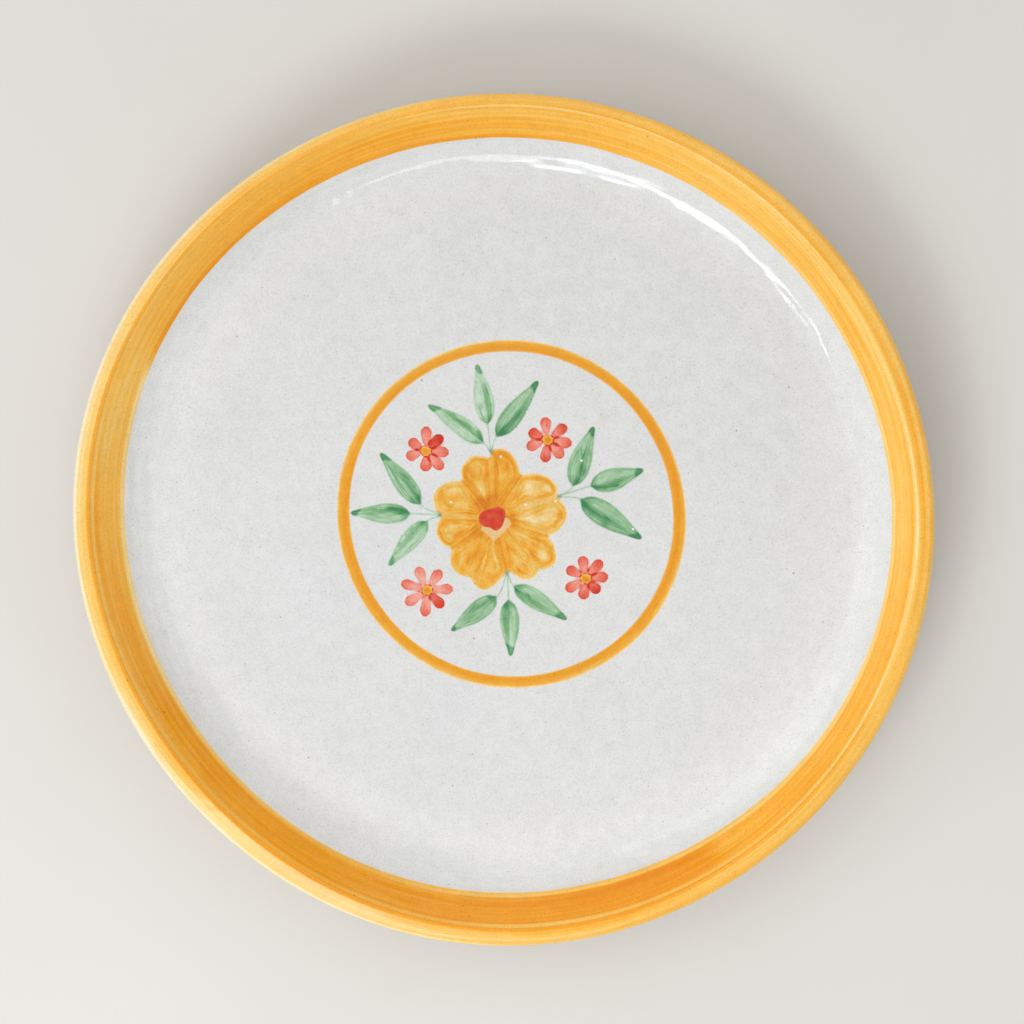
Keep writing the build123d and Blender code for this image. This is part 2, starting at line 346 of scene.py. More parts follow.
class Tree:
    """Short calls for the nodes of one material or group. Values may be sockets, numbers or colours."""

    def __init__(self, tree):
        self.tree = tree

    def node(self, kind, inputs=(), **settings):
        made = self.tree.nodes.new("ShaderNode" + kind)
        for name, value in settings.items():
            setattr(made, name, value)
        for key, value in dict(inputs).items():
            self.feed(made.inputs[key], value)
        return made

    def feed(self, socket, value):
        if isinstance(value, bpy.types.NodeSocket):
            self.tree.links.new(value, socket)
        elif socket.type == "RGBA" and isinstance(value, float):
            socket.default_value = (value, value, value, 1)
        else:
            socket.default_value = value

    def math(self, operation, *values):
        return self.node("Math", enumerate(values), operation=operation).outputs[0]

    def total(self, *values):
        result = values[0]
        for value in values[1:]:
            result = self.math("ADD", result, value)
        return result

    def times(self, *values):
        result = values[0]
        for value in values[1:]:
            result = self.math("MULTIPLY", result, value)
        return result

    def fade(self, value, low, high):
        """0 below low, 1 above high, smooth between. With low above high it falls instead."""
        made = self.node("MapRange", {"Value": value}, interpolation_type="SMOOTHSTEP")
        if low <= high:
            ends = (low, high, 0.0, 1.0)
        else:
            ends = (high, low, 1.0, 0.0)
        for index, end in enumerate(ends, start=1):
            made.inputs[index].default_value = end
        return made.outputs[0]

    def stripe(self, value, start, end, soft):
        """1 between start and end, fading out over soft on each side."""
        return self.times(self.fade(value, start - soft, start + soft),
                          self.fade(value, end + soft, end - soft))

    def vector(self, x, y, z):
        return self.node("CombineXYZ", {"X": x, "Y": y, "Z": z}).outputs[0]

    def parts(self, vector):
        return self.node("SeparateXYZ", {"Vector": vector}).outputs

    def scaled(self, vector, factors):
        return self.node("VectorMath", {0: vector, 1: factors}, operation="MULTIPLY").outputs[0]

    def noise(self, vector, scale=1.0, detail=2.0, roughness=0.5):
        inputs = {"Vector": vector, "Scale": scale, "Detail": detail, "Roughness": roughness}
        return self.node("TexNoise", inputs).outputs[0]

    def lean(self, value, amount):
        """Noise turned into a change about zero."""
        return self.times(self.math("SUBTRACT", value, 0.5), amount)

    def mix(self, factor, first, second, blend="MIX"):
        made = self.node("Mix", data_type="RGBA", blend_type=blend)
        for index, value in ((0, factor), (6, first), (7, second)):
            self.feed(made.inputs[index], value)
        return made.outputs[2]

    def tinted(self, colour, tint):
        """The colour multiplied by another colour, or by a number."""
        return self.mix(1.0, colour, tint, "MULTIPLY")

    def ramp(self, value, stops):
        """A colour or number that changes with value. Stops are (value, hex colour or number)."""
        low, high = stops[0][0], stops[-1][0]
        share = self.node("MapRange", {"Value": value, 1: low, 2: high}).outputs[0]
        made = self.node("ValToRGB", {"Fac": share})
        elements = made.color_ramp.elements
        while len(elements) < len(stops):
            elements.new(0.5)
        for element, (place, look) in zip(elements, stops):
            element.position = (place - low) / (high - low)
            element.color = shade(look) if isinstance(look, str) else (look, look, look, 1)
        return made.outputs[0]

    def ramp_round(self, degrees, looks):
        """The same for a full turn from the first bearing on, which ends as it starts."""
        first = min(looks)
        return self.ramp(degrees, [*looks.items(), (first + 360, looks[first])])

    def stored(self, name, kind="Fac"):
        """What give() stored at the vertices: a number, or a vector if kind is Vector."""
        return self.node("Attribute", attribute_name=name).outputs[kind]

    def place(self):
        """The place on the object, in millimetres."""
        return self.scaled(self.node("TexCoord").outputs["Object"], (1 / MM, 1 / MM, 1 / MM))

    def bump(self, height):
        """Normals for a surface that stands that many millimetres higher."""
        return self.node("Bump", {"Height": height, "Strength": 1.0, "Distance": MM}).outputs[0]


# Specks of three sizes: cells per millimetre, size in cells, share of the cells that have none, strength
# and colour
SPECKS = [
    (0.95, 0.19, 0.45, 0.30, (0.52, 0.51, 0.50, 1)),
    (0.42, 0.100, 0.55, 0.50, (0.42, 0.37, 0.32, 1)),
    (0.13, 0.036, 0.50, 0.80, (0.26, 0.22, 0.19, 1)),
]


def make_detail():
    """What every glaze shows close up: specks, a fine grain, soft mottling and small swells."""
    group = bpy.data.node_groups.new("glaze_detail", "ShaderNodeTree")
    for name, kind in (("Tint", "Color"), ("Roughness", "Float"), ("Height", "Float")):
        group.interface.new_socket(name, in_out="OUTPUT", socket_type="NodeSocket" + kind)
    t = Tree(group)
    place = t.place()
    grain = t.ramp(t.noise(place, 1.7, 3.0, 0.65), [(0.25, 0.83), (0.5, 0.985), (0.75, 1.045)])
    mottle = t.ramp(t.noise(place, 0.22, 4.0, 0.6), [(0.3, 0.945), (0.7, 1.015)])
    clouds = t.ramp(t.noise(place, 0.03, 3.0), [(0.3, 0.97), (0.7, 1.01)])
    tint = t.tinted(t.tinted(grain, mottle), clouds)
    for scale, size, rare, strength, colour in SPECKS:
        cells = t.node("TexVoronoi", {"Vector": place, "Scale": scale})
        pick = t.parts(cells.outputs["Color"])
        away = t.math("SUBTRACT", cells.outputs["Distance"], t.times(pick[1], size * 0.4))
        speck = t.times(t.fade(away, size, size * 0.35), t.fade(pick[0], rare, rare + 0.05), strength)
        tint = t.mix(speck, tint, colour)
    rough = t.total(0.05, t.times(t.noise(place, 0.3, 3.0), 0.05))
    peel = t.times(t.noise(place, 0.16), 0.030)
    fine = t.times(t.noise(place, 0.9), 0.0016)
    out = group.nodes.new("NodeGroupOutput")
    t.feed(out.inputs["Tint"], tint)
    t.feed(out.inputs["Roughness"], rough)
    t.feed(out.inputs["Height"], t.total(peel, fine))
    return group


detail_group = make_detail()


def new_material(name):
    """A material, the calls for its nodes, and its shader."""
    material = bpy.data.materials.new(name)
    material.use_nodes = True
    return material, Tree(material.node_tree), material.node_tree.nodes["Principled BSDF"]


def glaze(name, colour_of, shine=0.5):
    """A glossy glaze: its material and its slot. colour_of(tree) gives the colour under the shared detail."""
    material, t, shader = new_material(name)
    detail = t.node("Group", node_tree=detail_group)
    t.feed(shader.inputs["Base Color"], t.tinted(colour_of(t), detail.outputs["Tint"]))
    t.feed(shader.inputs["Roughness"], detail.outputs["Roughness"])
    t.feed(shader.inputs["Normal"], t.bump(detail.outputs["Height"]))
    shader.inputs["IOR"].default_value = 1.52
    shader.inputs["Specular IOR Level"].default_value = shine
    return material, name


def white_glaze(t):
    """Off-white, a little warmer in broad soft patches."""
    return t.mix(t.noise(t.place(), 0.02, 1.0), shade("#E3E4E3"), shade("#E5E4E0"))


def white_with_painted_wall_light(t):
    """The same, painted a little whiter on the wall, most of all beside the yellow band: painted light for
    the wall, which gets less light than the floor.
    """
    along = t.parts(t.stored("lap", "Vector"))[0]
    return t.tinted(white_glaze(t), t.ramp(along, [(-27, 1.0), (-4, 1.11), (0, 1.11), (30, 1.0)]))


# ---- Yellow band ----

# The band was brushed in zones, one beside the other. For each: where it starts, in millimetres along the
# section from the band's inner edge, how softly, and how deep the yellow is there at each bearing.
FRINGE_ROUND = {0: 0.30, 30: 0.27, 60: 0.50, 90: 0.72, 120: 0.78, 153: 0.74, 158: 0.10, 180: 0.18,
                210: 0.26, 240: 0.50, 270: 0.44, 300: 0.34}
BAND_ZONES = [
    (2.0, 0.5, {0: 0.44, 30: 0.60, 60: 0.42, 90: 0.60, 120: 0.70, 152: 0.52, 156: 0.38, 170: 0.44,
                195: 0.60, 225: 0.72, 270: 0.78, 302: 0.86, 305: 0.64, 330: 0.60}),
    (8.8, 1.3, {0: 0.58, 30: 0.36, 60: 0.46, 90: 0.44, 120: 0.54, 150: 0.46, 165: 0.42, 180: 0.64,
                210: 0.60, 240: 0.78, 270: 0.75, 302: 0.82, 306: 0.66, 330: 0.60}),
    (11.8, 0.5, {0: 0.26, 30: 0.32, 60: 0.38, 90: 0.58, 120: 0.48, 150: 0.40, 190: 0.38, 240: 0.52,
                 270: 0.44, 300: 0.50, 330: 0.18}),
    # Just below the ridge: nearly bare from 350 to 15 degrees, a painted highlight along the ridge.
    (13.0, 0.2, {0: 0.00, 15: 0.12, 35: 0.40, 60: 0.30, 92: 0.28, 112: 0.50, 150: 0.56, 180: 0.66,
                 240: 0.72, 300: 0.74, 330: 0.68, 350: 0.20}),
    (13.8, 0.3, {0: 0.40, 60: 0.46, 90: 0.56, 115: 0.62, 180: 0.74, 240: 0.78, 300: 0.76, 330: 0.68}),
    (14.4, 0.3, {0: 0.53, 30: 0.53, 60: 0.58, 90: 0.55, 120: 0.48, 150: 0.28, 210: 0.37, 240: 0.62,
                 270: 0.47, 300: 0.44, 330: 0.40}),
    (16.0, 0.8, {0: 0.40, 60: 0.40, 90: 0.44, 120: 0.42, 150: 0.26, 210: 0.20, 240: 0.58, 270: 0.48,
                 300: 0.44, 330: 0.46}),
    # The outer edge: a real pale edge, painted paler still from 115 to 262 degrees as a painted highlight on
    # the west side.
    (17.7, 0.6, {0: 0.46, 60: 0.48, 90: 0.40, 115: 0.22, 135: 0.06, 180: 0.00, 210: 0.00, 240: 0.10,
                 262: 0.22, 290: 0.40, 330: 0.50}),
    (20.2, 0.6, {0: 0.42, 90: 0.38, 200: 0.46, 290: 0.42}),
]
YELLOWS = [(0.0, "#FDEEC8"), (0.2, "#FCD88C"), (0.4, "#FBC668"), (0.6, "#FAB54E"), (0.8, "#F5A23A"),
           (1.0, "#EC902C")]
BAND_END = AT_BAND_END - AT_BAND
STEADY_FROM = 12            # zones that start before this wander a little from side to side


def band_colour(t):
    """Concentric brush streaks, deeper where the brush was full, with the brush's start and stop, and painted
    light: lighter on the wall and the east side, with painted highlights in two zones.
    """
    lap = t.stored("lap", "Vector")
    along, east, north = t.parts(lap)
    turn = t.math("FRACT", t.math("DIVIDE", t.math("ARCTAN2", north, east), math.tau))
    degrees = t.times(turn, 360.0)
    streaks = t.noise(t.scaled(lap, (0.8, 1.3, 1.3)), 1.0, 3.0, 0.6)
    hairs = t.noise(t.scaled(lap, (3.0, 2.2, 2.2)))
    clouds = t.noise(t.scaled(lap, (0.12, 7.0, 7.0)))
    moved = t.total(along, t.lean(t.noise(t.scaled(lap, (0.0, 2.0, 2.0))), 1.4))
    depth = t.ramp_round(degrees, FRINGE_ROUND)
    for start, soft, tones in BAND_ZONES:
        onward = moved if start < STEADY_FROM else along
        depth = t.mix(t.fade(onward, start - soft, start + soft), depth, t.ramp_round(degrees, tones))
    depth = t.total(depth, t.lean(streaks, 0.62), t.lean(hairs, 0.30), t.lean(clouds, 0.16))
    # Painted light: the yellows are those of a level surface in even light, so they are made lighter on the
    # wall, which gets less light, and on the east side, since the west side gets more.
    painted_light_lift = t.times(t.ramp(along, [(12.0, 1.07), (14.5, 1.0)]), t.total(1.045, t.times(east, 0.035)))
    yellow = t.tinted(t.ramp(depth, YELLOWS), painted_light_lift)
    frayed = t.total(along, t.lean(t.noise(t.scaled(lap, (0.4, 30.0, 30.0))), 0.7))
    covered = t.times(t.fade(along, -0.1, 0.35), t.fade(frayed, BAND_END - 0.1, BAND_END - 1.1))
    return t.mix(covered, white_with_painted_wall_light(t), yellow)


# ---- Clay ----


def make_clay():
    """Bare stoneware with grog, shown only on the foot ring."""
    material, t, shader = new_material("stoneware")
    place = t.place()
    colour = t.ramp(t.noise(place, 0.35, 5.0, 0.65), [(0.3, "#B99C7A"), (0.55, "#CDB494"), (0.75, "#DCC7AA")])
    grog = t.node("TexVoronoi", {"Vector": place, "Scale": 0.8})
    colour = t.mix(t.times(t.fade(grog.outputs["Distance"], 0.22, 0.1), 0.6), colour, shade("#7A6147"))
    t.feed(shader.inputs["Base Color"], colour)
    t.feed(shader.inputs["Roughness"], t.ramp(t.noise(place, 0.8), [(0.3, 0.75), (0.7, 0.92)]))
    turning = t.node("TexWave", {"Vector": place, "Scale": 0.35, "Distortion": 0.6, "Detail": 2.0},
                     wave_type="RINGS", rings_direction="Z")
    height = t.total(t.times(turning.outputs["Fac"], 0.03), t.times(t.noise(place, 2.2, 3.0), 0.05))
    t.feed(shader.inputs["Normal"], t.bump(height))
    return material, "stoneware"


# ---- Plate: clay body and coats ----

white = glaze("speckled_white_glaze", white_with_painted_wall_light)
coat("face_glaze", 0.0, AT_BAND, 0.55, white, False)
coat("rim_band", AT_BAND, AT_BAND_END, 0.6, glaze("yellow_band_glaze", band_colour, 0.28), True)
coat("back_glaze", AT_BAND_END, AT_FOOT_OUTER, 1.2, white, True)
coat("foot_well_glaze", AT_FOOT_INNER, plate.length, 3.0, white, False)

foot_top = BASE_HEIGHT + GLAZE
foot = Section([(FOOT_OUTER_RADIUS, foot_top), (FOOT_OUTER_RADIUS, 0), (FOOT_INNER_RADIUS, 0),
                (FOOT_INNER_RADIUS, foot_top)], [FOOT_ROUND, FOOT_ROUND])
lathe("clay_body",
      [(plate, distance, GLAZE) for distance in plate.stations(0.0, AT_FOOT_OUTER, 1.8, arc_step=20.0)[:-1]]
      + [(foot, distance, 0.0) for distance in foot.stations(0.0, foot.length, 0.7, arc_step=12.0)]
      + [(plate, distance, GLAZE) for distance in plate.stations(AT_FOOT_INNER, plate.length, 6.0)[1:]],
      False, make_clay())

# ---- Paint marks ----

LATTICE = 0.2               # spacing of the marks' meshes
FRINGE = 0.3                # the paint thins out over this much beyond a mark's edge
FILM_EDGE = 0.006           # how far a mark stands above the glaze at its thin edge
FILM_BODY = 0.03            # and how much more inside it
FILM_ROOT = 0.03            # how far a mark reaches down into the glaze
NEAR = 1.6                  # how far away a neighbouring mark is noticed
POOL = 0.35                 # how much further paint reaches where two marks run together
POOL_REACH = 0.5            # and how close together they have to be for that


def outlines(node):
    """The edges of a CAD paint mark's upper faces, each a closed line of points."""
    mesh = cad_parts[node].data
    edges = set()
    for face in mesh.polygons:
        if face.normal.z > 0.9:
            corners = [tuple(round(c / MM, 3) for c in mesh.vertices[v].co[:2]) for v in face.vertices]
            edges.update(zip(corners, corners[1:] + corners[:1]))
    following = dict(edge for edge in edges if edge[::-1] not in edges)
    loops = []
    while following:
        spot = min(following)
        loop = []
        while spot in following:
            loop.append(spot)
            spot = following.pop(spot)
        loops.append(np.array(loop))
    return loops


def signed_distance(points, loop):
    """Distance from each point to the loop, negative inside it."""
    nearest = np.full(len(points), np.inf)
    inside = np.zeros(len(points), bool)
    for start, end in zip(loop, np.roll(loop, -1, axis=0)):
        step = end - start
        away = points - start
        share = np.clip(away @ step / (step @ step), 0, 1)
        nearest = np.minimum(nearest, np.hypot(*(away - share[:, None] * step).T))
        if step[1] != 0:
            crosses = (start[1] > points[:, 1]) != (end[1] > points[:, 1])
            inside ^= crosses & (away[:, 0] < step[0] * away[:, 1] / step[1])
    return np.where(inside, -nearest, nearest)


def tremble(x, y):
    """How far the hand strayed from a mark's edge."""
    return 0.10 * ripple(x, y, 0.0, 2.2)


def blade_places(loop, root):
    """How to find places along and across a mark that runs from its end near the root to its far end."""
    gaps = np.hypot(*(loop[:, None] - loop[None]).transpose(2, 0, 1))
    ends = np.unravel_index(gaps.argmax(), gaps.shape)
    first, last = sorted(ends, key=lambda i: np.hypot(*(loop[i] - root)))
    axis = unit(loop[last] - loop[first])
    across = np.array([-axis[1], axis[0]])
    length = gaps.max()
    turned = np.roll(loop, -first, axis=0) - loop[first]
    halfway = (last - first) % len(loop)
    sides = []
    for side in (turned[:halfway + 1], np.vstack([turned[halfway:], turned[:1]])):
        order = np.argsort(side @ axis)
        sides.append(((side @ axis)[order], (side @ across)[order]))

    def places(points):
        along = (points - loop[first]) @ axis
        beside = (points - loop[first]) @ across
        one, other = [np.interp(along, *side) for side in sides]
        half = np.maximum(np.abs(one - other) / 2, 0.3)
        return along, along / length, (beside - (one + other) / 2) / half
    return places


def fan_places(loop, root):
    """The same for a mark that spreads from the root, its places across being bearings."""
    middle = unit(loop.mean(axis=0) - root)
    reach = np.hypot(*(loop - root).T).max()

    def bearings(points):
        away = points - root
        return np.arctan2(away[:, 1] * middle[0] - away[:, 0] * middle[1], away @ middle)
    widest = np.abs(bearings(loop)).max()

    def places(points):
        along = np.hypot(*(points - root).T)
        return along, along / reach, bearings(points) / widest
    return places


def contour(field, xs, ys):
    """Points and faces that cover the lattice where the field is above zero, cut along its zero line."""
    above = field > 0
    cells = above[:-1, :-1] | above[1:, :-1] | above[:-1, 1:] | above[1:, 1:]
    points = []
    faces = []
    found = {}

    def vertex(key, x, y):
        if key not in found:
            found[key] = len(points)
            points.append((x, y))
        return found[key]

    for i, j in np.argwhere(cells).tolist():
        face = []
        corners = [(i, j), (i + 1, j), (i + 1, j + 1), (i, j + 1)]
        for a, b in zip(corners, corners[1:] + corners[:1]):
            if above[a]:
                face.append(vertex(a, xs[a[0]], ys[a[1]]))
            if above[a] != above[b]:
                share = min(max(field[a] / (field[a] - field[b]), 0.05), 0.95)
                x = xs[a[0]] + share * (xs[b[0]] - xs[a[0]])
                y = ys[a[1]] + share * (ys[b[1]] - ys[a[1]])
                face.append(vertex((min(a, b), max(a, b)), x, y))
        faces.append(face)
    return np.array(points), faces


def film(points, heights, faces, start):
    """A thin closed solid over flat faces, its lower side in the glaze. Its vertices count from start."""
    count = len(points)
    level = floor_surface(points[:, 0], points[:, 1])
    solid = np.vstack([np.column_stack([points, level + rise]) for rise in (heights, -FILM_ROOT)])
    edges = {edge for face in faces for edge in zip(face, face[1:] + face[:1])}
    walls = [(b, a, a + count, b + count) for a, b in sorted(edges) if (b, a) not in edges]
    under = [[v + count for v in face[::-1]] for face in faces]
    return solid, [tuple(v + start for v in face) for face in [*faces, *under, *walls]]


def on_lattice(values, xs, ys, points):
    """A window of the lattice read between its points."""
    across, up = (points[:, 0] - xs[0]) / LATTICE, (points[:, 1] - ys[0]) / LATTICE
    i = np.clip(across.astype(int), 0, len(xs) - 2)
    j = np.clip(up.astype(int), 0, len(ys) - 2)
    u, v = across - i, up - j
    low = values[i, j] * (1 - u) + values[i + 1, j] * u
    high = values[i, j + 1] * (1 - u) + values[i + 1, j + 1] * u
    return low * (1 - v) + high * v


def film_height(edge):
    share = np.clip((edge + FRINGE) / (FRINGE + 0.5), 0, 1)
    return FILM_EDGE + FILM_BODY * share * share * (3 - 2 * share)


MARKS_REACH = 54.0          # every mark lies within this distance of the axis, each way
lattice = np.arange(-MARKS_REACH, MARKS_REACH, LATTICE)
nearest_mark = np.full((len(lattice), len(lattice)), np.inf)
second_mark = nearest_mark.copy()
strayed = tremble(lattice[:, None], lattice[None, :])
pieces = {}                 # piece name: (its marks, its paint)


def pooling(lead):
    """Extra reach of the paint. Lead is how much further away the next mark is than this one."""
    return POOL * np.clip(1 - lead / POOL_REACH, 0, 1)


def add_piece(name, places_of, root, paint, tone_of=lambda bearing: 0.0):
    """Takes a CAD node's outlines as the marks of one piece, and notes how near each lies to the lattice."""
    marks = []
    for loop in outlines(name):
        low = np.searchsorted(lattice, loop.min(axis=0) - NEAR)
        high = np.searchsorted(lattice, loop.max(axis=0) + NEAR)
        window = (slice(low[0], high[0]), slice(low[1], high[1]))
        xs, ys = lattice[window[0]], lattice[window[1]]
        spots = np.stack(np.meshgrid(xs, ys, indexing="ij"), axis=-1).reshape(-1, 2)
        gaps = signed_distance(spots, loop).reshape(len(xs), len(ys)) + strayed[window]
        nearer = gaps < nearest_mark[window]
        second_mark[window] = np.where(nearer, nearest_mark[window], np.minimum(second_mark[window], gaps))
        nearest_mark[window] = np.minimum(nearest_mark[window], gaps)
        away = loop.mean(axis=0) - root
        tone = tone_of(math.degrees(math.atan2(away[1], away[0])))
        marks.append((loop, window, gaps, places_of(loop, root), tone))
    pieces[name] = (marks, paint)


def make_marks():
    """Makes each piece's mesh. Marks that lie side by side meet halfway."""
    seed = 0.0
    for name, (marks, paint) in pieces.items():
        points, faces, given = [], [], {}
        for loop, window, gaps, places, tone in marks:
            seed += 7.3     # each mark reads the noise at a place of its own
            others = np.where(gaps <= nearest_mark[window], second_mark[window], nearest_mark[window])
            others = np.minimum(others, NEAR)
            xs, ys = lattice[window[0]], lattice[window[1]]
            reach = FRINGE + pooling(others - gaps)
            flat, flat_faces = contour(np.minimum(reach - gaps, (others - gaps) / 2), xs, ys)
            edge = -signed_distance(flat, loop) - tremble(flat[:, 0], flat[:, 1])
            beside = on_lattice(others, xs, ys, flat)
            edge = edge + pooling(beside + edge)
            sisters = [signed_distance(flat, other) for other, *_ in marks if other is not loop]
            solid, solid_faces = film(flat, film_height(np.maximum(edge, -beside)), flat_faces, len(points))
            along, share, across = places(flat)
            points += list(solid)
            faces += solid_faces
            found = {
                "edge": edge,
                "beside": beside,
                "sister": np.min([*sisters, np.full(len(flat), NEAR)], axis=0),
                "stroke": stacked(along, across, seed),
                "share": share,
                "tone": np.full(len(flat), tone),
            }
            for key, values in found.items():
                # The lower side's vertices repeat the upper side's values.
                given.setdefault(key, []).extend([*values, *values])
        piece = make_piece(name, points, faces, paint)
        for key, values in given.items():
            give(piece, key, values)


# ---- Paint colours ----


class Mark:
    """What a paint's nodes read of its marks: places in the stroke, distances from edges, and tones."""

    def __init__(self, t):
        self.t = t
        self.stroke = t.stored("stroke", "Vector")
        self.along, self.across, self.seed = t.parts(self.stroke)
        self.share, self.edge, self.tone, self.beside, self.sister = (
            t.stored(name) for name in ("share", "edge", "tone", "beside", "sister"))
        # Paint that runs into its neighbour doesn't thin out towards it.
        self.body = t.math("MAXIMUM", self.edge, t.math("SUBTRACT", 0.32, self.beside))

    def noise(self, along, across, detail=2.0, roughness=0.5):
        """Noise of the mark's own, from how fast it changes along and across the stroke."""
        return self.t.noise(self.t.scaled(self.stroke, (along, across, 1.0)), 1.0, detail, roughness)


def laid_on_white(t, colour, edge, full=0.22, strength=1.0):
    """Paint that thins out at its edge and lets the white through."""
    return t.mix(t.times(t.fade(edge, -FRINGE, full), strength), white_glaze(t), colour)


def pinholes_and_glints(t, colour):
    """A few tiny pale dots in the paint: bare pinholes, painted lighter than the white glaze as painted
    glints.
    """
    cells = t.node("TexVoronoi", {"Vector": t.place(), "Scale": 0.12}, voronoi_dimensions="2D")
    pick = t.parts(cells.outputs["Color"])
    hole = t.times(t.fade(cells.outputs["Distance"], 0.056, 0.034), t.fade(pick[0], 0.78, 0.80))
    return t.mix(hole, colour, shade("#F6F1E6"))


GREENS = [(0.0, "#CFE2CC"), (0.25, "#B0CFAC"), (0.45, "#95BD93"), (0.65, "#7BAC7D"), (0.85, "#5F976B"),
          (1.0, "#4F8B60")]


def leaf_colour(t):
    """A pale blade with a dark lane right of its middle, a soft outline, and a dark dab at its tip."""
    m = Mark(t)
    streaks = m.noise(0.10, 1.4, 3.0, 0.6)
    hairs = m.noise(0.16, 4.5)
    vein = t.fade(t.math("ABSOLUTE", t.math("SUBTRACT", m.noise(0.05, 1.9, 0.0), 0.5)), 0.035, 0.0)
    pools = m.noise(0.4, 1.0, 1.0)
    lane = t.math("ABSOLUTE", t.total(m.across, 0.36, t.lean(pools, 0.6)))
    reach = t.lean(t.noise(t.vector(t.times(m.seed, 0.61), 0.2, 0.9), 1.0, 0.0), 0.25)
    dab = t.total(m.share, reach, t.times(m.across, -0.04), t.lean(pools, 0.10))
    depth = t.total(
        0.27, m.tone,
        t.times(t.fade(lane, 0.50, 0.10), t.fade(m.share, 0.92, 0.45), 0.36),
        t.times(vein, t.fade(m.edge, 0.4, 0.9), 0.30),
        t.times(t.stripe(m.edge, 0.30, 0.62, 0.22), 0.15),
        t.times(t.fade(dab, 0.80, 0.86), 0.52),
        t.times(t.fade(m.share, 0.20, 0.05), 0.32),
        t.lean(streaks, 0.80), t.lean(hairs, 0.40), t.lean(pools, 0.30),
    )
    return laid_on_white(t, pinholes_and_glints(t, t.ramp(depth, GREENS)), m.body, 0.30)


def stem_colour(t):
    """A thin line, fuller where it leaves the flower."""
    m = Mark(t)
    depth = t.total(0.30, t.lean(t.noise(t.place(), 0.5), 0.5), t.times(t.fade(m.along, 2.2, 0.4), 0.65))
    return laid_on_white(t, t.ramp(depth, GREENS), t.total(m.body, -0.08), 0.22, 0.80)


OCHRES = [(0.0, "#F9E4B4"), (0.2, "#F5D28A"), (0.4, "#F3BF60"), (0.58, "#F1AC42"), (0.78, "#E99835"),
          (1.0, "#DC832B")]
LOBE_DEPTHS = [(-0.3, 0.10), (0.1, 0.20), (0.55, 0.42), (1.0, 0.58), (1.7, 0.56), (2.8, 0.44), (5.0, 0.36)]
# At each bearing from the flower's centre: how brown the paint is round the heart, and how far out, in
# millimetres, the glaze was left nearly bare
SMUDGES = {-180: 0.15, -150: 0.35, -125: 0.9, -100: 0.35, -60: 0.7, -25: 0.45, 5: 0.9, 30: 0.8, 60: 0.35,
           90: 0.9, 120: 0.85, 150: 0.4}
BARE_REACH = {-180: 2.0, -150: 3.9, -131: 4.9, -104: 5.6, -84: 7.4, -68: 6.3, -49: 5.4, -30: 5.9, -12: 6.2,
              0: 5.2, 18: 2.0}


def petal_colour(t):
    """Loose strokes nested inside each lobe's edge, and brown smudges and a bare patch round the heart."""
    m = Mark(t)
    place = t.place()
    warp = t.total(t.lean(t.noise(place, 0.25), 2.6), t.lean(t.noise(place, 0.8), 0.9))
    bent = t.total(m.edge, warp)
    nested = t.noise(t.vector(t.times(bent, 1.15), t.times(m.share, 1.8), m.seed), 1.0, 2.0, 0.55)
    fanned = t.total(m.across, t.times(warp, 0.12))
    rays = t.noise(t.vector(t.times(fanned, 2.4), t.times(m.along, 0.16), m.seed), 1.0, 2.0, 0.55)
    hairs = t.noise(t.vector(t.times(bent, 3.2), t.times(m.share, 2.5), m.seed))
    pools = t.noise(place, 0.17, 3.0)
    x, y, _ = t.parts(place)
    x, y = t.total(x, -flower_centre[0]), t.total(y, -flower_centre[1])
    away = t.math("SQRT", t.total(t.times(x, x), t.times(y, y)))
    bearing = t.times(t.math("ARCTAN2", y, x), 180 / math.pi)
    joint = t.fade(m.beside, 1.1, 0.0)
    smudge = t.times(t.fade(t.total(away, t.times(warp, 1.1)), 9.5, 6.5), t.ramp_round(bearing, SMUDGES))
    depth = t.total(
        t.mix(joint, t.ramp(t.total(m.body, t.times(warp, 0.12)), LOBE_DEPTHS), 0.46), m.tone,
        t.times(joint, t.fade(m.sister, 0.2, 1.3), 0.26),
        t.times(smudge, 0.36),
        t.times(t.fade(m.edge, 0.2, 1.0), t.fade(m.edge, 4.4, 2.0), t.lean(nested, 1.05)),
        t.times(t.fade(m.edge, 1.0, 2.8), t.lean(rays, 1.15)),
        t.lean(hairs, 0.34), t.lean(pools, 0.75),
    )
    strayed_away = t.total(away, t.lean(t.noise(place, 0.6), 1.8))
    past = t.math("SUBTRACT", strayed_away, t.ramp_round(bearing, BARE_REACH))
    colour = t.mix(t.times(t.fade(past, 0.4, -0.4), 0.78), t.ramp(depth, OCHRES), shade("#EECF98"))
    return laid_on_white(t, pinholes_and_glints(t, colour), m.body, 0.15)


REDS = [(0.0, "#F9CDC0"), (0.25, "#F5AC9B"), (0.5, "#EE8270"), (0.75, "#E05B45"), (1.0, "#CE3F2B")]


def blossom_colour(t):
    """Pale near the heart, deeper outwards, and red where petals meet beside the heart."""
    m = Mark(t)
    streaks = m.noise(0.35, 1.3, 3.0, 0.6)
    grain = t.noise(t.place(), 1.5)
    corner = t.times(t.fade(m.beside, 0.80, 0.20), t.fade(m.share, 0.44, 0.26))
    depth = t.total(
        t.ramp(m.share, [(0.0, 0.34), (0.35, 0.32), (0.7, 0.50), (0.95, 0.60)]), m.tone,
        t.times(corner, 0.60),
        t.times(t.stripe(m.edge, 0.05, 0.30, 0.15), 0.12),
        t.lean(streaks, 0.55), t.lean(grain, 0.25),
    )
    return laid_on_white(t, t.ramp(depth, REDS), m.body, 0.12)


